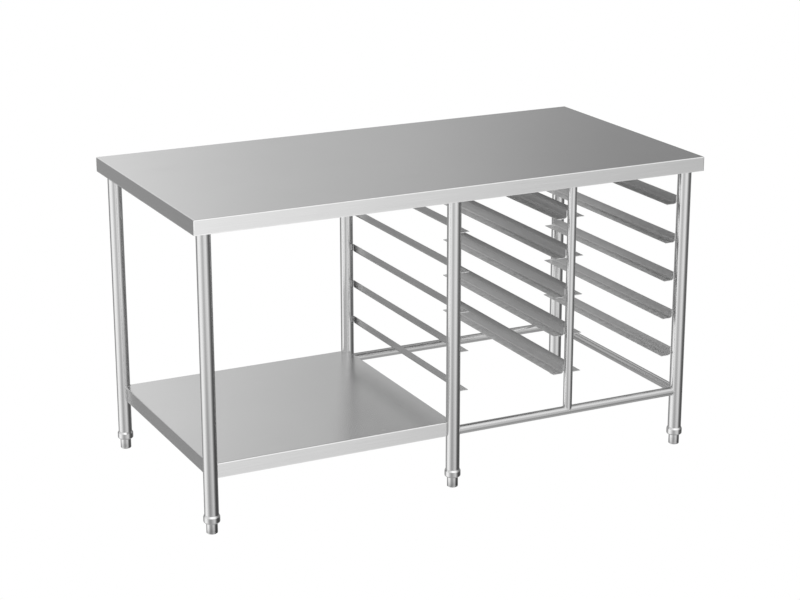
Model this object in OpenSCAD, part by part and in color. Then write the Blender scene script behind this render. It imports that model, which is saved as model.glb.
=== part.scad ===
// Stainless steel kitchen work table with an undershelf on the left and two bays of tray runners
// on the right. It stands on six tubular legs with screw-adjustable bullet feet.
//
// Frame: millimetres, +Z up, floor at z = 0, origin on the floor under the middle of the top.
// X runs along the table, and the front edge is at -Y.

/* [Table] */
// Length of the top
table_length = 1500; // [1400:10:1800]
// Depth of the top
table_depth = 750; // [650:10:800]
// Height of the working surface, with the feet as set at rest
table_height = 850; // [830:5:900]
// Height of the folded edge of the top and of the undershelf
edge_drop = 40; // [30:1:50]
// Thickness of the sheet of the top and of the undershelf
sheet = 1.2; // [1:0.1:2]
// Outer bend radius of the folded sheet edges
bend = 3; // [2.5:0.5:5]

/* [Frame] */
// Diameter of the leg tubes
leg_dia = 38; // [32:1:42]
// Wall of the leg tubes
leg_wall = 1.2; // [1:0.1:2]
// Distance from the edges of the top to the axes of the corner legs
leg_inset = 38; // [36:1:60]
// Place of the middle pair of legs, from the middle of the top
middle_leg_x = -9; // [-60:1:40]
// Diameter of the stretchers and of the thin posts
stay_dia = 25; // [22:1:28]
// Wall of the stretchers and of the thin posts
stay_wall = 1.2; // [1:0.1:2]
// Height of the stretcher axes
stretcher_z = 161; // [150:1:175]
// Height of the undershelf surface
shelf_z = 188; // [180:1:260]

/* [Tray runners] */
// Number of runner levels
runner_levels = 5; // [1:1:5]
// Underside of the lowest runner
runner_z = 268.5; // [260:0.5:290]
// Height from one level to the next
runner_pitch = 111; // [60:1:112]
// Width of the flange that carries the tray
runner_flange = 30; // [20:1:35]
// Height of the upright web
runner_web = 25; // [18:1:30]
// Thickness of the runner sheet
runner_sheet = 1.5; // [1:0.1:2]

/* [Feet] */
// Diameter of the foot collars
collar_dia = 44; // [43:0.5:46]
// Diameter of the bullet feet
foot_dia = 30; // [28:0.5:31]
// Height of the collars' lower face above the floor
collar_z = 29.5; // [28:0.5:31]
// Diameter of the threaded studs
stud_dia = 12; // [10:1:12]

/* [Hidden] */
$fn = 48;
steel = "#b8bbbe";
steel_shade = "#9a9da0";
steel_bright = "#cfd2d4";
nylon = "#4a4c4f";

// Leg and post axes
corner_x = table_length / 2 - leg_inset;
leg_y = table_depth / 2 - leg_inset;
leg_r = leg_dia / 2;
stay_r = stay_dia / 2;
post_x = (middle_leg_x + corner_x) / 2;
legs = [
    ["front_left", -corner_x, -leg_y],
    ["front_middle", middle_leg_x, -leg_y],
    ["front_right", corner_x, -leg_y],
    ["rear_left", -corner_x, leg_y],
    ["rear_middle", middle_leg_x, leg_y],
    ["rear_right", corner_x, leg_y],
];
posts = [["front", -leg_y], ["rear", leg_y]];

// Channels under the top and the undershelf
channel_wide = 60;
channel_high = 20;
channel_sheet = 1.5;
channel_bend = 3.5;
channel_top_z = table_height - sheet;
channel_end_gap = 4;
frame_top_z = channel_top_z - channel_high;
cross_channels = [
    ["left", -corner_x],
    ["middle", middle_leg_x],
    ["post", post_x],
    ["right", corner_x],
];
hem = 12;

// Runners: [column name, x of the face on the tubes, side that the flange points to]
runner_columns = [
    ["middle", middle_leg_x + leg_r, 1],
    ["post_left", post_x - stay_r, -1],
    ["post_right", post_x + stay_r, 1],
    ["right", corner_x - leg_r, -1],
];
runner_bend = 8;
runner_end_y = leg_y - 6;
bead_r = 2;

// Feet
collar_r = collar_dia / 2;
collar_round = 5;
collar_high = 22;
collar_cone = 5;
sleeve_r = leg_r + 0.6;
recess_r = foot_dia / 2 + 0.6;
recess_top_z = collar_z + 15.5;
tube_end_z = recess_top_z + 2;
plug_top_z = tube_end_z + 33;
plug_r = leg_r - leg_wall;
stud_r = stud_dia / 2;
thread_gap = 0.05;
foot_top_z = recess_top_z - 4;
foot_bottom_z = 1.2;
foot_edge = 0.7;
foot_cavity_r = foot_dia / 2 - 2;
foot_cavity_top_z = foot_top_z - 9;
stud_bottom_z = 9;
stud_top_z = plug_top_z + 4;
pad_high = 0.9;
pad_r = foot_dia / 2 - 1.6;
pad_plug_r = foot_cavity_r - 0.6;
pad_plug_top_z = 16;

function runner_node(column, level) = str("runner_", runner_columns[column][0], "_", level + 1);

// ---------- shared shapes ----------

// Rectangle centred on the origin, with round corners.
module round_rect(length, depth, r) {
    square([length - 2 * r, depth], center = true);
    square([length, depth - 2 * r], center = true);
    for (x = [-1, 1], y = [-1, 1])
        translate([x * (length / 2 - r), y * (depth / 2 - r)]) circle(r);
}

// Block from z0 to z1 whose upright corners and upper edges are round.
module soft_block(length, depth, z0, z1, r) {
    edge_x = length / 2 - r;
    edge_y = depth / 2 - r;
    translate([0, 0, z0]) linear_extrude(z1 - r - z0) round_rect(length, depth, r);
    translate([-edge_x, -edge_y, z1 - r]) cube([2 * edge_x, 2 * edge_y, r]);
    for (y = [-1, 1])
        translate([-edge_x, y * edge_y, z1 - r]) rotate([0, 90, 0]) cylinder(h = 2 * edge_x, r = r);
    for (x = [-1, 1])
        translate([x * edge_x, -edge_y, z1 - r]) rotate([-90, 0, 0]) cylinder(h = 2 * edge_y, r = r);
    for (x = [-1, 1], y = [-1, 1])
        translate([x * edge_x, y * edge_y, z1 - r]) sphere(r);
}

// Sheet pan open below: flat top at z1, folded edges, and a hem turned in along their lower end.
module folded_pan(length, depth, z1) {
    z0 = z1 - edge_drop;
    difference() {
        soft_block(length, depth, z0, z1, bend);
        soft_block(length - 2 * sheet, depth - 2 * sheet, z0 - 1, z1 - sheet, bend - sheet);
    }
    translate([0, 0, z0]) linear_extrude(sheet) difference() {
        round_rect(length, depth, bend);
        square([length - 2 * hem, depth - 2 * hem], center = true);
    }
}

// Round tube standing on z0.
module tube(r, wall, z0, z1) {
    translate([0, 0, z0]) difference() {
        cylinder(h = z1 - z0, r = r);
        translate([0, 0, -1]) cylinder(h = z1 - z0 + 2, r = r - wall);
    }
}

// Round tube lying along X from x0 to x1.
module tube_x(r, wall, x0, x1) {
    translate([x0, 0, 0]) rotate([0, 90, 0]) tube(r, wall, 0, x1 - x0);
}

// Solid outline of every leg tube, for cutting what is coped to them.
module leg_cores() {
    for (l = legs)
        translate([l[1], l[2], 0]) cylinder(h = table_height, r = leg_r);
}

// U section open upward: width along X, height along Y of the drawing.
module channel_section() {
    difference() {
        channel_outline(channel_wide, channel_bend, 0);
        channel_outline(channel_wide - 2 * channel_sheet, channel_bend - channel_sheet, channel_sheet);
    }
}

module channel_outline(width, r, y0) {
    translate([-width / 2, y0 + r]) square([width, channel_high - y0 - r]);
    translate([-width / 2 + r, y0]) square([width - 2 * r, r + 1]);
    for (x = [-1, 1])
        translate([x * (width / 2 - r), y0 + r]) circle(r);
}

// Channel of the given length, centred on the origin, along X, with its rims at top_z.
module channel_x(length, top_z) {
    translate([-length / 2, 0, top_z - channel_high])
        rotate([90, 0, 90]) linear_extrude(length) channel_section();
}

// ---------- sub-parts ----------

module worktop() {
    color(steel) folded_pan(table_length, table_depth, table_height);
}

module long_channel(y) {
    color(steel_shade) translate([0, y, 0])
        channel_x(table_length - 2 * (sheet + channel_end_gap), channel_top_z);
}

module cross_channel(x) {
    color(steel_shade) translate([x, 0, 0]) rotate([0, 0, 90])
        channel_x(2 * leg_y - channel_wide, channel_top_z);
}

module undershelf() {
    color(steel) difference() {
        translate([(middle_leg_x - corner_x) / 2, 0, 0])
            folded_pan(middle_leg_x + corner_x, 2 * leg_y, shelf_z);
        leg_cores();
    }
}

module shelf_channel() {
    shelf_length = middle_leg_x + corner_x;
    color(steel_shade) translate([(middle_leg_x - corner_x) / 2, 0, 0])
        channel_x(shelf_length - 2 * (sheet + channel_end_gap), shelf_z - sheet);
}

module leg(x, y) {
    color(steel) translate([x, y, 0]) tube(leg_r, leg_wall, tube_end_z, frame_top_z);
}

// Thin post, coped over the stretcher that it stands on.
module post(y) {
    color(steel) difference() {
        translate([post_x, y, 0]) tube(stay_r, stay_wall, stretcher_z, frame_top_z);
        translate([post_x - leg_dia, y, stretcher_z])
            rotate([0, 90, 0]) cylinder(h = 2 * leg_dia, r = stay_r);
    }
}

module long_stretcher(y) {
    color(steel) difference() {
        translate([0, y, stretcher_z]) tube_x(stay_r, stay_wall, middle_leg_x, corner_x);
        leg_cores();
    }
}

module side_stretcher() {
    color(steel) difference() {
        translate([corner_x, -leg_y, stretcher_z]) rotate([0, 0, 90])
            tube_x(stay_r, stay_wall, 0, 2 * leg_y);
        leg_cores();
    }
}

// Angle section: upright web at x = 0, flange along +X, round bend between them.
module runner_section() {
    translate([0, runner_bend]) square([runner_sheet, runner_web - runner_bend]);
    translate([runner_bend, 0]) square([runner_flange - runner_bend, runner_sheet]);
    intersection() {
        square(runner_bend);
        translate([runner_bend, runner_bend]) difference() {
            circle(runner_bend);
            circle(runner_bend - runner_sheet);
        }
    }
}

// One runner with the weld beads that join its ends to the tubes in front and behind.
module runner(column, level) {
    face_x = runner_columns[column][1];
    side = runner_columns[column][2];
    z = runner_z + level * runner_pitch;
    color(steel_shade) difference() {
        translate([face_x, 0, z]) union() {
            mirror([side < 0 ? 1 : 0, 0, 0]) translate([0, runner_end_y, 0])
                rotate([90, 0, 0]) linear_extrude(2 * runner_end_y) runner_section();
            for (y = [-runner_end_y, runner_end_y])
                translate([0, y, runner_bend]) cylinder(h = runner_web - runner_bend - 1, r = bead_r);
        }
        leg_cores();
        for (p = posts)
            translate([post_x, p[1], 0]) cylinder(h = table_height, r = stay_r);
    }
}

// Collar and threaded plug in the lower end of a leg; the bullet foot rises into its recess.
module foot_socket(x, y) {
    color(steel_bright) translate([x, y, 0]) rotate_extrude() {
        polygon([
            [recess_r, collar_z],
            [collar_r - collar_round, collar_z],
            [collar_r - collar_round, collar_z + collar_round],
            [collar_r, collar_z + collar_round],
            [collar_r, collar_z + collar_high - collar_cone],
            [sleeve_r, collar_z + collar_high],
            [leg_r, collar_z + collar_high],
            [leg_r, tube_end_z],
            [plug_r, tube_end_z],
            [plug_r, plug_top_z - 2],
            [plug_r - 2, plug_top_z],
            [stud_r + thread_gap, plug_top_z],
            [stud_r + thread_gap, recess_top_z],
            [recess_r, recess_top_z],
        ]);
        translate([collar_r - collar_round, collar_z + collar_round]) intersection() {
            circle(collar_round);
            translate([0, -collar_round]) square(collar_round);
        }
    }
}

// Bullet foot: hollow cup with the stud through its crown.
module foot_body(x, y) {
    r = foot_dia / 2;
    color(steel_bright) translate([x, y, 0]) rotate_extrude() polygon([
        [0, stud_bottom_z],
        [stud_r, stud_bottom_z],
        [stud_r, foot_cavity_top_z],
        [foot_cavity_r, foot_cavity_top_z],
        [foot_cavity_r, foot_bottom_z],
        [r - foot_edge, foot_bottom_z],
        [r, foot_bottom_z + foot_edge],
        [r, foot_top_z - foot_edge],
        [r - foot_edge, foot_top_z],
        [stud_r, foot_top_z],
        [stud_r, stud_top_z - 1.5],
        [stud_r - 1.5, stud_top_z],
        [0, stud_top_z],
    ]);
}

// Nylon pad in the mouth of the bullet foot, free to turn on the end of the stud.
module foot_pad(x, y) {
    color(nylon) translate([x, y, 0]) rotate_extrude() {
        polygon([
            [0, 0],
            [pad_r - pad_high, 0],
            [pad_r - pad_high, pad_high],
            [pad_plug_r, pad_high],
            [pad_plug_r, pad_plug_top_z],
            [stud_r + thread_gap, pad_plug_top_z],
            [stud_r + thread_gap, stud_bottom_z - 0.4],
            [0, stud_bottom_z - 0.4],
        ]);
        translate([pad_r - pad_high, pad_high]) intersection() {
            circle(pad_high);
            translate([0, -pad_high]) square(pad_high);
        }
    }
}

// ---------- assembly ----------

worktop();
long_channel(-leg_y);  // top_channel_front
long_channel(leg_y);  // top_channel_rear
for (c = cross_channels)
    cross_channel(c[1]);
undershelf();
shelf_channel();
for (l = legs)
    leg(l[1], l[2]);
for (p = posts)
    post(p[1]);
long_stretcher(-leg_y);  // stretcher_front
long_stretcher(leg_y);  // stretcher_rear
side_stretcher();  // stretcher_side
for (c = [0:3], i = [0:runner_levels - 1])
    runner(c, i);
for (l = legs)
    foot_socket(l[1], l[2]);
for (l = legs)
    foot_body(l[1], l[2]);
for (l = legs)
    foot_pad(l[1], l[2]);
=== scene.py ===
import math
import random
import bpy
from mathutils import Matrix, Vector


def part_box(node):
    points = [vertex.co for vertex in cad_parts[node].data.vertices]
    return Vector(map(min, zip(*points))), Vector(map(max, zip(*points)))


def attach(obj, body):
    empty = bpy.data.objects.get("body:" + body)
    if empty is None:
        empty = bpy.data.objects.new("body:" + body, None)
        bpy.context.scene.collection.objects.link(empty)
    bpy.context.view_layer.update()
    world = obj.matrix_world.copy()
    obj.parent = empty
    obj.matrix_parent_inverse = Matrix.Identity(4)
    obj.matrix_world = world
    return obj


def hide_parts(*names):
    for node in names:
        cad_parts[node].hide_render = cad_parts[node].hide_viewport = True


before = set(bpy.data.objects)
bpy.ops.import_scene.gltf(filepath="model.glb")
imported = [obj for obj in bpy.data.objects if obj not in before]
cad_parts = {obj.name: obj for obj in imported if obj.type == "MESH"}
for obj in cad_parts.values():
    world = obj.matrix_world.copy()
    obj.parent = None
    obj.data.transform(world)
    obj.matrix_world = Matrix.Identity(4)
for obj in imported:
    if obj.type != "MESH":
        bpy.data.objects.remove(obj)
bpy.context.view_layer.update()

rng = random.Random(11)

# ---------- view, in metres and degrees ----------
VIEW_AIM = Vector((-0.001, 0.0, 0.437))
VIEW_AZIMUTH = -26.42
VIEW_ELEVATION = 17.355
VIEW_ROLL = -0.065
VIEW_DISTANCE = 5.75
SENSOR_MM = 36.0
LENS_MM = 91.95

# ---------- surround ----------
FLOOR_HALF = 30.0
UNDER_GREY = (0.56, 0.56, 0.56)

# ---------- table, in metres ----------
LEGS = ("front_left", "front_middle", "front_right", "rear_left", "rear_middle", "rear_right")
LEG_R = 0.019
STAY_R = 0.0125
THREAD_PITCH = 0.00175
THREAD_DEPTH = 0.0010
RUNNER_PITCH = 0.111
FOOT_TOP = 0.041
FOOT_WALL = 0.002
FOOT_CROWN = 0.009
STUD_R = 0.006
STUD_START = 0.0078
ARC_STEPS = 72

# ---------- weld beads, in metres ----------
BEAD_STEP = 0.00045
BEAD_SIDES = 8
BEAD_RIPPLE = 4.2


# ---------- nodes ----------

def node_tree(owner):
    """The emptied node tree of a material or a world."""
    owner.use_nodes = True
    tree = owner.node_tree
    tree.nodes.clear()
    return tree


def add(tree, kind, **settings):
    """Adds a shader node, with its attributes set by name."""
    node = tree.nodes.new(kind)
    for key, value in settings.items():
        setattr(node, key, value)
    return node


def feed(tree, socket, value):
    """Sets a socket from a number or a tuple, or links another socket to it."""
    if isinstance(value, (int, float)):
        socket.default_value = value
    elif isinstance(value, tuple):
        socket.default_value = (*value, 1) if socket.type == "RGBA" else value
    else:
        tree.links.new(value, socket)


def maths(tree, operation, a, b=0.0, c=0.0, clamp=False):
    """A Math node; a, b and c are sockets or numbers."""
    node = add(tree, "ShaderNodeMath", operation=operation, use_clamp=clamp)
    for socket, value in zip(node.inputs, (a, b, c)):
        feed(tree, socket, value)
    return node.outputs[0]


def mix(tree, factor, a, b, blend="MIX"):
    """Colour mix; a and b are sockets or RGB tuples."""
    node = add(tree, "ShaderNodeMix", data_type="RGBA", blend_type=blend)
    for socket, value in ((node.inputs[0], factor), (node.inputs[6], a), (node.inputs[7], b)):
        feed(tree, socket, value)
    return node.outputs[2]


def between(tree, source, start, end, low=0.0, high=1.0):
    """low to high, smoothly, as source goes from start to end."""
    node = add(tree, "ShaderNodeMapRange", interpolation_type="SMOOTHSTEP")
    for socket, value in zip(node.inputs, (source, start, end, low, high)):
        feed(tree, socket, value)
    return node.outputs["Result"]


def axes(tree, vector):
    """The three numbers of a vector socket."""
    node = add(tree, "ShaderNodeSeparateXYZ")
    feed(tree, node.inputs[0], vector)
    return node.outputs


def normal(tree):
    """The three numbers of the surface normal."""
    return axes(tree, add(tree, "ShaderNodeNewGeometry").outputs["Normal"])


def noise(tree, place, scale, detail=3.0, roughness=0.55):
    """Noise over place; scale is one number, or the number of cells per metre along X, Y and Z."""
    stretch = add(tree, "ShaderNodeMapping")
    feed(tree, stretch.inputs["Vector"], place)
    feed(tree, stretch.inputs["Scale"], scale if isinstance(scale, tuple) else (scale, scale, scale))
    node = add(tree, "ShaderNodeTexNoise")
    feed(tree, node.inputs["Vector"], stretch.outputs[0])
    node.inputs["Scale"].default_value = 1.0
    node.inputs["Detail"].default_value = detail
    node.inputs["Roughness"].default_value = roughness
    return node.outputs["Fac"]


def grey_ramp(tree, source, stops):
    """Greys along source, 0 to 1, smoothly from stop to stop; stops are (place, value)."""
    node = add(tree, "ShaderNodeValToRGB")
    band = node.color_ramp
    band.interpolation = "EASE"
    while len(band.elements) > 1:
        band.elements.remove(band.elements[-1])
    for i, (place, value) in enumerate(stops):
        element = band.elements[0] if i == 0 else band.elements.new(place)
        element.position = place
        element.color = (value, value, value, 1)
    feed(tree, node.inputs["Fac"], source)
    return node.outputs["Color"]


# ---------- studio ----------

def build_camera():
    """The photo's view."""
    azimuth, elevation, roll = (math.radians(a) for a in (VIEW_AZIMUTH, VIEW_ELEVATION, VIEW_ROLL))
    # azimuth 0 looks along +Y; a negative azimuth looks from -X towards +X
    forward = Vector((-math.sin(azimuth) * math.cos(elevation),
                      math.cos(azimuth) * math.cos(elevation),
                      -math.sin(elevation)))
    right = forward.cross(Vector((0, 0, 1))).normalized()
    up = right.cross(forward)
    tilted_right = right * math.cos(roll) + up * math.sin(roll)
    tilted_up = up * math.cos(roll) - right * math.sin(roll)
    data = bpy.data.cameras.new("camera")
    data.sensor_width = SENSOR_MM
    data.lens = LENS_MM
    camera = bpy.data.objects.new("camera", data)
    turn = Matrix((tilted_right, tilted_up, -forward)).transposed().to_4x4()
    camera.matrix_world = Matrix.Translation(VIEW_AIM - forward * VIEW_DISTANCE) @ turn
    bpy.context.scene.collection.objects.link(camera)
    bpy.context.scene.camera = camera


def compass(tree, place, stops):
    """Brightness round the horizon: stops are (degrees, value), 0 behind the table and 90 to its right."""
    return grey_ramp(tree, place, [((degrees + 180) / 360, value) for degrees, value in stops])


def build_world():
    """Soft studio surround: what the steel reflects. To the eye it is plain white."""
    world = bpy.data.worlds.new("studio")
    bpy.context.scene.world = world
    tree = node_tree(world)
    x, y, z = axes(tree, add(tree, "ShaderNodeTexCoord").outputs["Generated"])
    place = maths(tree, "MULTIPLY_ADD", maths(tree, "ARCTAN2", x, y), 0.5 / math.pi, 0.5)
    floor_ring = compass(tree, place, (
        (-180, 0.72), (-156, 0.50), (-140, 0.42), (-124, 0.54), (-108, 0.84), (-90, 1.30), (-69, 1.48),
        (-45, 1.10), (-25, 0.36), (0, 0.42), (30, 0.42), (65, 0.20), (96, 0.08), (120, 0.09), (138, 0.28),
        (158, 0.84), (172, 0.82), (180, 0.72)))
    low_ring = compass(tree, place, (
        (-180, 1.25), (-165, 1.16), (-152, 0.86), (-138, 0.80), (-122, 1.05), (-105, 1.40), (-88, 1.47),
        (-68, 1.48), (-45, 0.68), (-34, 0.25), (-26, 0.25), (-18, 0.46), (-8, 0.46), (30, 0.42),
        (65, 0.30), (95, 0.20), (115, 0.17), (130, 0.31), (147, 0.70), (165, 1.27), (180, 1.25)))
    high_ring = compass(tree, place, (
        (-180, 1.00), (-155, 1.08), (-135, 0.88), (-110, 0.86), (-80, 0.92), (-48, 0.70), (-28, 0.60),
        (-14, 0.62), (3, 1.04), (14, 1.02), (25, 0.55), (34, 0.25), (50, 0.18), (90, 0.18), (120, 0.40),
        (145, 0.86), (162, 1.00), (180, 1.00)))
    roof_ring = compass(tree, place, (
        (-180, 1.50), (-150, 1.42), (-120, 0.95), (-60, 0.70), (-12, 0.40), (2, 0.48), (18, 0.70),
        (24, 0.62), (33, 0.28), (75, 0.78), (95, 0.88), (130, 1.12), (155, 1.40), (180, 1.50)))
    # from straight down to straight up, by the height z of the direction
    below = mix(tree, between(tree, z, -0.86, -0.50), UNDER_GREY, floor_ring)
    lower = mix(tree, between(tree, z, -0.41, -0.27), below, low_ring)
    middle = mix(tree, between(tree, z, 0.02, 0.27), lower, high_ring)
    reflected = mix(tree, between(tree, z, 0.29, 0.60), middle, roof_ring)
    choice = add(tree, "ShaderNodeMixShader")
    for socket, colour in ((choice.inputs[1], reflected), (choice.inputs[2], (1.0, 1.0, 1.0))):
        node = add(tree, "ShaderNodeBackground")
        feed(tree, node.inputs["Color"], colour)
        feed(tree, socket, node.outputs[0])
    feed(tree, choice.inputs[0], add(tree, "ShaderNodeLightPath").outputs["Is Camera Ray"])
    feed(tree, add(tree, "ShaderNodeOutputWorld").inputs["Surface"], choice.outputs[0])


def build_floor():
    """White floor, bright enough to show no shadow."""
    material = bpy.data.materials.new("studio_floor")
    tree = node_tree(material)
    feed(tree, add(tree, "ShaderNodeOutputMaterial").inputs["Surface"], add(tree, "ShaderNodeEmission").outputs[0])
    mesh = bpy.data.meshes.new("studio_floor")
    corners = [(x * FLOOR_HALF, y * FLOOR_HALF, 0) for x, y in ((-1, -1), (1, -1), (1, 1), (-1, 1))]
    mesh.from_pydata(corners, [], [(0, 1, 2, 3)])
    mesh.materials.append(material)
    floor = bpy.data.objects.new("studio_floor", mesh)
    bpy.context.scene.collection.objects.link(floor)
    floor.visible_glossy = False


def build_lamps():
    """Large soft lamps for whatever is matt."""
    for name, place, size, power in (
        ("lamp_top", (0.0, 0.0, 5.0), 7.0, 500.0),
        ("lamp_left", (-5.0, -3.0, 3.5), 4.0, 200.0),
    ):
        data = bpy.data.lights.new(name, "AREA")
        data.shape = "SQUARE"
        data.size = size
        data.energy = power
        lamp = bpy.data.objects.new(name, data)
        lamp.location = place
        lamp.rotation_euler = Vector(place).to_track_quat("Z", "Y").to_euler()
        lamp.visible_glossy = False
        bpy.context.scene.collection.objects.link(lamp)


# ---------- materials ----------

def on_ends(tree):
    """1 on faces towards the left or the right, 0 on all others."""
    return between(tree, maths(tree, "ABSOLUTE", normal(tree)[0]), 0.55, 0.90)


def grain(tree, place, along):
    """Hairlines along one axis, from broad bands to single hairs. Along "sheet" they follow each edge."""
    across, down = 420, 7
    scales = {"x": (down, across, across), "y": (across, down, across), "z": (across, across, down)}
    if along != "sheet":
        return noise(tree, place, scales[along], 4.0, 0.66)
    lines = [noise(tree, place, scales[axis], 4.0, 0.66) for axis in ("x", "y")]
    return mix(tree, on_ends(tree), lines[0], lines[1])


def box_edges(node, width=0.004):
    """The rubbed-wear mask of a sheet: 1 along the edges of its box, 0 elsewhere on its faces."""
    def mask(tree, place):
        near = []
        for value, low, high in zip(axes(tree, place), *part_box(node)):
            away = maths(tree, "ABSOLUTE", maths(tree, "SUBTRACT", value, (low + high) / 2))
            near.append(between(tree, away, (high - low) / 2 - width, (high - low) / 2 - width / 4))
        pairs = [maths(tree, "MULTIPLY", near[i], near[i - 1]) for i in range(3)]
        return maths(tree, "ADD", maths(tree, "ADD", pairs[0], pairs[1]), pairs[2], clamp=True)
    return mask


def upward(tree, place):
    """1 on faces that look well upwards, 0 on upright ones and underneath."""
    return between(tree, normal(tree)[2], 0.25, 0.45)


def near_floor(tree, place):
    """1 at the floor, 0 from 30 mm above it."""
    return between(tree, axes(tree, place)[2], 0.030, 0.002)


def flange_flats(tree, place):
    """1 on the flats of the runner flanges, where trays slide, 0 higher up; there the runner steel is painted
    lighter, as painted light, with some rubbed wear.
    """
    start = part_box("runner_right_1")[0].z - 0.001
    height = maths(tree, "MODULO", maths(tree, "SUBTRACT", axes(tree, place)[2], start), RUNNER_PITCH)
    return between(tree, height, 0.0045, 0.0030)


def finish_material(tree, colour, roughness, heights, strength, distance, metallic):
    """Puts a Principled shader with a bump from heights on the output."""
    bump = add(tree, "ShaderNodeBump")
    bump.inputs["Strength"].default_value = strength
    bump.inputs["Distance"].default_value = distance
    feed(tree, bump.inputs["Height"], heights)
    shader = add(tree, "ShaderNodeBsdfPrincipled")
    shader.inputs["Metallic"].default_value = metallic
    feed(tree, shader.inputs["Base Color"], colour)
    feed(tree, shader.inputs["Roughness"], roughness)
    feed(tree, shader.inputs["Normal"], bump.outputs[0])
    feed(tree, add(tree, "ShaderNodeOutputMaterial").inputs["Surface"], shader.outputs[0])


def steel(name, grey, roughness, along, contrast, wear_and_light_mask=None, dent=0.000012, polish_and_light=1.10):
    """Brushed stainless: hairlines, faint clouding and smears, fine scratches, and a tone made the given factor
    times as light where the mask is 1. Along sheet edges that is rubbed wear. On runner flange flats it is painted
    light with some rubbed wear, on socket tops it is painted light, and on bullets near the floor it is painted
    shade.
    On sheets the faces towards the left and right are also painted darker, as painted shade. contrast is how much
    the hairlines change the tone, dent their depth."""
    material = bpy.data.materials.new(name)
    tree = node_tree(material)
    colour = (grey,) * 3
    place = add(tree, "ShaderNodeTexCoord").outputs["Object"]
    hairs = grain(tree, place, along)
    cloud = noise(tree, place, 4.0, 4.0)
    smear = between(tree, noise(tree, place, 11.0, 5.0, 0.6), 0.56, 0.74)
    scratch = between(tree, noise(tree, place, (55, 75, 65), 7.0, 0.72), 0.63, 0.70)
    # tone
    clouded = mix(tree, cloud, tuple(c * 0.965 for c in colour), tuple(c * 1.035 for c in colour))
    lines = maths(tree, "MULTIPLY_ADD", hairs, 2 * contrast, 1 - contrast)
    tone = mix(tree, 1.0, clouded, lines, "MULTIPLY")
    # painted shade: on sheets the faces towards the left and right are painted 0.82 times as dark
    if along == "sheet":
        tone = mix(tree, on_ends(tree), tone, mix(tree, 1.0, tone, (0.82, 0.82, 0.82), "MULTIPLY"))
    # gloss
    rough = maths(tree, "MULTIPLY_ADD", hairs, 0.08, roughness - 0.04)
    rough = maths(tree, "MULTIPLY_ADD", smear, 0.02, rough)
    rough = maths(tree, "MULTIPLY_ADD", scratch, 0.02, rough)
    if wear_and_light_mask:
        marked_area = wear_and_light_mask(tree, place)
        rubbed_and_lit = maths(tree, "MULTIPLY", marked_area, between(tree, noise(tree, place, 60.0, 3.0), 0.25, 0.7, 0.35, 1.0))
        # tone under the mask: rubbed wear on sheet edges, painted light on runner flanges and socket tops, painted
        # shade on bullets near the floor
        tone = mix(tree, maths(tree, "MULTIPLY", rubbed_and_lit, 0.9), tone, tuple(min(1.0, c * polish_and_light) for c in colour))
        rough = maths(tree, "MULTIPLY_ADD", rubbed_and_lit, -0.07, rough)
    finish_material(tree, tone, rough, hairs, 0.6, dent, 1.0)
    return material


def nylon(name):
    """Moulded black nylon: fine pitting and scuffed patches."""
    material = bpy.data.materials.new(name)
    tree = node_tree(material)
    place = add(tree, "ShaderNodeTexCoord").outputs["Object"]
    pits = noise(tree, place, 1800.0, 2.0)
    patches = noise(tree, place, 140.0, 4.0)
    colour = mix(tree, patches, (0.040, 0.040, 0.043), (0.085, 0.085, 0.09))
    finish_material(tree, colour, maths(tree, "MULTIPLY_ADD", patches, 0.25, 0.40), pits, 0.5, 0.00008, 0.0)
    return material


def paint(prefixes, material):
    """Gives a material to the CAD nodes whose names start with one of the prefixes."""
    for name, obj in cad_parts.items():
        if name.startswith(prefixes):
            obj.data.materials.clear()
            obj.data.materials.append(material)


# ---------- welds ----------

def spaced(path, step):
    """Points at an even step along a path of points."""
    points, left = [path[0]], step
    for a, b in zip(path, path[1:]):
        run = (b - a).length
        done = left
        while done <= run:
            points.append(a.lerp(b, done / run))
            done += step
        left = done - run
    return points


def bead(path, size):
    """Vertices and faces of a weld bead: overlapping ripples, with tapered ends where the path is open."""
    closed = (path[0] - path[-1]).length < 1e-6
    points = spaced(path, BEAD_STEP)
    phase = rng.uniform(0, 2 * math.pi)
    drift = 0.0
    verts, faces = [], []
    for i, point in enumerate(points):
        ahead = points[min(i + 1, len(points) - 1)] - points[max(i - 1, 0)]
        across = ahead.cross(Vector((0.31, 0.17, 0.93))).normalized()
        out = ahead.cross(across).normalized()
        drift = 0.9 * drift + rng.uniform(-0.02, 0.02)
        ripple = 1 + 0.10 * math.sin(phase + i * 2 * math.pi / BEAD_RIPPLE) + drift
        end = min(i, len(points) - 1 - i)
        taper = 1.0 if closed else min(1.0, 0.35 + 0.16 * end)
        for k in range(BEAD_SIDES):
            angle = 2 * math.pi * k / BEAD_SIDES
            verts.append(point + (across * math.cos(angle) + out * math.sin(angle)) * size * ripple * taper)
    for i in range(len(points) - 1):
        for k in range(BEAD_SIDES):
            a, b = i * BEAD_SIDES + k, i * BEAD_SIDES + (k + 1) % BEAD_SIDES
            faces.append((a, b, b + BEAD_SIDES, a + BEAD_SIDES))
    if not closed:
        faces.append(tuple(reversed(range(BEAD_SIDES))))
        faces.append(tuple(range(len(verts) - BEAD_SIDES, len(verts))))
    return verts, faces


def build_welds(name, paths, size, material):
    """One object with a bead along each path, fixed to the table."""
    verts, faces = [], []
    for path in paths:
        more_verts, more_faces = bead(path, size)
        faces += [tuple(v + len(verts) for v in face) for face in more_faces]
        verts += more_verts
    obj = smooth_object(name, verts, faces, material)
    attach(obj, "table")


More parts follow.
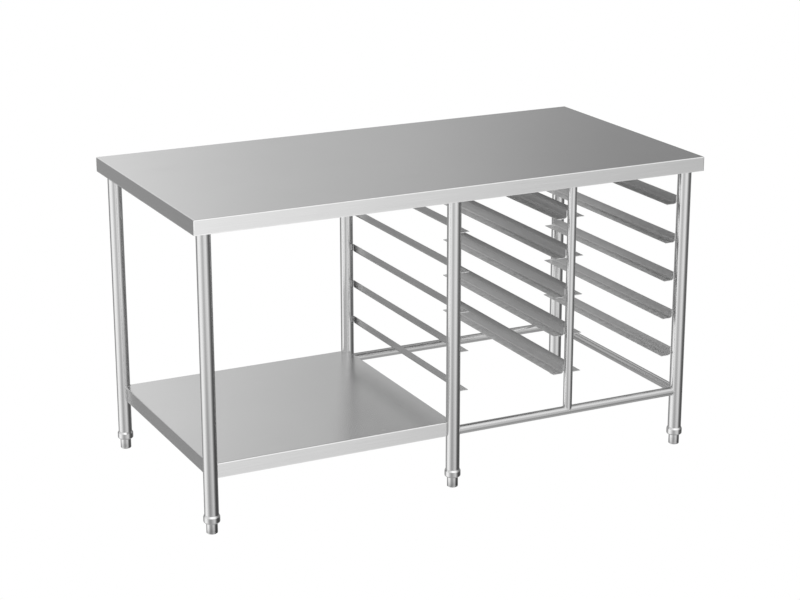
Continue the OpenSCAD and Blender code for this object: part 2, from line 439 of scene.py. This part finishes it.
def smooth_object(name, verts, faces, material, sharp=40):
    """A new smooth-shaded mesh object, with edges over sharp degrees kept sharp."""
    mesh = bpy.data.meshes.new(name)
    mesh.from_pydata(verts, [], faces)
    mesh.polygons.foreach_set("use_smooth", [True] * len(mesh.polygons))
    mesh.set_sharp_from_angle(angle=math.radians(sharp))
    mesh.materials.append(material)
    obj = bpy.data.objects.new(name, mesh)
    bpy.context.scene.collection.objects.link(obj)
    return obj


def middle_of(node):
    low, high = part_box(node)
    return (low + high) / 2


def ring(centre, radius, count=ARC_STEPS, start=0, end=360):
    """Points on a level arc, in degrees from +X."""
    angles = [math.radians(start + (end - start) * i / count) for i in range(count + 1)]
    return [centre + Vector((radius * math.cos(a), radius * math.sin(a), 0)) for a in angles]


def stay_to_leg(leg, direction, height):
    """Loop where a stay tube that leaves the leg in a level direction meets it."""
    sideways = Vector((-direction.y, direction.x, 0))
    loop = []
    for i in range(ARC_STEPS + 1):
        angle = 2 * math.pi * i / ARC_STEPS
        offset = STAY_R * math.cos(angle)
        depth = math.sqrt(LEG_R ** 2 - offset ** 2)
        rise = Vector((0, 0, height + STAY_R * math.sin(angle)))
        loop.append(Vector((leg.x, leg.y, 0)) + rise + direction * depth + sideways * offset)
    return loop


def post_on_stay(post, height):
    """Loop where a post stands on a stay tube of its own size that runs along X."""
    loop = []
    for i in range(ARC_STEPS + 1):
        angle = 2 * math.pi * i / ARC_STEPS
        x, y = STAY_R * math.cos(angle), STAY_R * math.sin(angle)
        loop.append(Vector((post.x + x, post.y + y, height + abs(x))))
    return loop


def shelf_corner(leg, shelf_low, shelf_high, inward):
    """The welds of one notched corner of the shelf: over the top and down both edges."""
    top = shelf_high.z
    x_side = Vector((leg.x + inward.x * LEG_R, leg.y, top))
    y_side = Vector((leg.x, leg.y + inward.y * LEG_R, top))
    start = 0 if inward.x > 0 else 180
    end = start + 90 * inward.x * inward.y
    arc = ring(Vector((leg.x, leg.y, top)), LEG_R, 24, start, end)
    down = Vector((0, 0, shelf_low.z - top))
    return [arc, [x_side, x_side + down * 0.97], [y_side, y_side + down * 0.97]]


def build_all_welds(material):
    """Beads at the stretchers, the posts, the corners of the undershelf and the tops of the legs."""
    legs = {name: middle_of("leg_" + name) for name in LEGS}
    height = middle_of("stretcher_front").z
    loops = []
    for row in ("front", "rear"):
        loops.append(stay_to_leg(legs[row + "_middle"], Vector((1, 0, 0)), height))
        loops.append(stay_to_leg(legs[row + "_right"], Vector((-1, 0, 0)), height))
    loops.append(stay_to_leg(legs["front_right"], Vector((0, 1, 0)), height))
    loops.append(stay_to_leg(legs["rear_right"], Vector((0, -1, 0)), height))
    build_welds("welds_stretchers", loops, 0.0013, material)
    build_welds("welds_posts", [post_on_stay(middle_of("post_" + row), height) for row in ("front", "rear")],
                0.0011, material)
    low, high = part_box("undershelf")
    corners = []
    for name in ("front_left", "front_middle", "rear_left", "rear_middle"):
        leg = legs[name]
        inward = Vector((1 if "left" in name else -1, 1 if "front" in name else -1, 0))
        corners += shelf_corner(leg, low, high, inward)
    build_welds("welds_shelf", corners, 0.0012, material)
    tops = []
    for node, radius in [("leg_" + name, LEG_R) for name in LEGS] + [("post_front", STAY_R), ("post_rear", STAY_R)]:
        centre = middle_of(node)
        tops.append(ring(Vector((centre.x, centre.y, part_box(node)[1].z)), radius))
    build_welds("welds_leg_tops", tops, 0.0013, material)


# ---------- bullet feet ----------

def lathe(profile, steps=ARC_STEPS):
    """Vertices and faces of a turned part; profile is (radius, z) from one end on the axis to the other."""
    verts, faces = [], []
    rows = []
    for radius, z in profile:
        if radius < 1e-6:
            rows.append([len(verts)])
            verts.append(Vector((0, 0, z)))
        else:
            rows.append(list(range(len(verts), len(verts) + steps)))
            for k in range(steps):
                angle = 2 * math.pi * k / steps
                verts.append(Vector((radius * math.cos(angle), radius * math.sin(angle), z)))
    for a, b in zip(rows, rows[1:]):
        for k in range(steps):
            face = [a[k % len(a)], a[(k + 1) % len(a)], b[(k + 1) % len(b)], b[k % len(b)]]
            faces.append(tuple(dict.fromkeys(face)))
    return verts, faces


def threaded_rod(low, high, radius, steps=32):
    """Vertices and faces of a right-handed threaded rod along Z, with pointed ends."""
    verts, faces = [], []
    turns = (high - low) / THREAD_PITCH
    rows = int(turns * 6)
    for i in range(rows + 1):
        z = low + (high - low) * i / rows
        ease = min(1.0, (z - low) / 0.0015, (high - z) / 0.0015)
        for k in range(steps):
            turn = (z / THREAD_PITCH - k / steps) % 1.0
            cut = THREAD_DEPTH * (1 - min(1.0, 1.25 * abs(2 * turn - 1)))
            r = radius - cut - (1 - ease) * 0.0012
            angle = 2 * math.pi * k / steps
            verts.append(Vector((r * math.cos(angle), r * math.sin(angle), z)))
    for i in range(rows):
        for k in range(steps):
            a, b = i * steps + k, i * steps + (k + 1) % steps
            faces.append((a, b, b + steps, a + steps))
    faces.append(tuple(reversed(range(steps))))
    faces.append(tuple(range(rows * steps, (rows + 1) * steps)))
    return verts, faces


def foot_profile(radius, low, top):
    """Section of a bullet foot: a cup open at the floor, with a groove low on its side and rounded edges."""
    bore, roof = radius - FOOT_WALL, top - FOOT_CROWN
    edge, groove, hold = 0.0007, 0.00025, 0.0003
    inside = [(STUD_R - 0.0015, roof), (bore - 0.0005, roof), (bore, roof - 0.0005),
              (bore, low + 0.0006), (bore + 0.0004, low + 0.0001)]
    # the points hold away from an edge keep the side's shading upright
    side = [(radius - edge, low), (radius - edge * 0.3, low + edge * 0.3), (radius, low + edge),
            (radius, low + edge + hold), (radius, low + 0.0036), (radius - groove, low + 0.0040),
            (radius - groove, low + 0.0046), (radius, low + 0.0050), (radius, top - edge - hold),
            (radius, top - edge), (radius - edge * 0.3, top - edge * 0.3), (radius - edge, top)]
    neck = [(STUD_R + 0.0011, top), (STUD_R + 0.0006, top - 0.0004), (STUD_R - 0.0015, top - 0.0004)]
    return inside + side + neck


def build_feet(material):
    """Bullet feet with their threaded studs, in place of the plain CAD ones."""
    for name in LEGS:
        low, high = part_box("foot_body_" + name)
        centre = (low + high) / 2
        verts, faces = lathe(foot_profile((high.x - low.x) / 2, low.z, FOOT_TOP))
        rod_verts, rod_faces = threaded_rod(low.z + STUD_START, high.z, STUD_R)
        faces += [tuple(v + len(verts) for v in face) for face in rod_faces]
        verts += rod_verts
        place = Vector((centre.x, centre.y, 0))
        foot = smooth_object("bullet_foot_" + name, [v + place for v in verts], faces, material, 30)
        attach(foot, "bullet_" + name)
        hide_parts("foot_body_" + name)


# ---------- build ----------

build_camera()
build_world()
build_floor()
build_lamps()
bpy.context.scene.view_settings.view_transform = "Standard"

# what is painted, and with which steel: name, grey, roughness, grain, contrast, mask for wear and painted light,
# dent, tone factor under that mask
# painted shade: the bullets are painted darker towards the floor, down to 0.6 times the tone at the floor
bullet_steel = steel("bullet_steel", 0.60, 0.13, "z", 0.03, near_floor, 0.000006, 0.60)
for prefixes, material in (
    (("worktop",), steel("brushed_top", 0.758, 0.23, "sheet", 0.08, box_edges("worktop"))),
    (("undershelf",), steel("brushed_shelf", 0.758, 0.25, "sheet", 0.08, box_edges("undershelf"))),
    (("top_channel", "shelf_channel"), steel("channel_steel", 0.60, 0.30, "x", 0.05)),
    (("leg_", "post_"), steel("tube_upright", 0.578, 0.15, "z", 0.03, dent=0.000006)),
    (("stretcher_front", "stretcher_rear"), steel("tube_long", 0.578, 0.15, "x", 0.03, dent=0.000006)),
    # painted light: the side stretchers are painted lighter than the same tube elsewhere, grey 0.665 against 0.578
    (("stretcher_side",), steel("tube_side", 0.665, 0.15, "y", 0.03, dent=0.000006)),
    # painted shade and light on the runners: grey 0.60, darker than the sheet steel, as painted shade on the webs,
    # and 1.8 times as light on the flange flats as painted light
    (("runner_",), steel("runner_steel", 0.60, 0.30, "y", 0.03, flange_flats, 0.000003, 1.8)),
    # painted light: the faces of the sockets that look upwards are painted 1.4 times as light
    (("foot_socket",), steel("foot_steel", 0.60, 0.10, "z", 0.03, upward, 0.000006, 1.40)),
    (("foot_body",), bullet_steel),
    (("foot_pad",), nylon("nylon")),
):
    paint(prefixes, material)
build_all_welds(steel("weld_steel", 0.70, 0.24, "z", 0.06, dent=0.00002))
build_feet(bullet_steel)
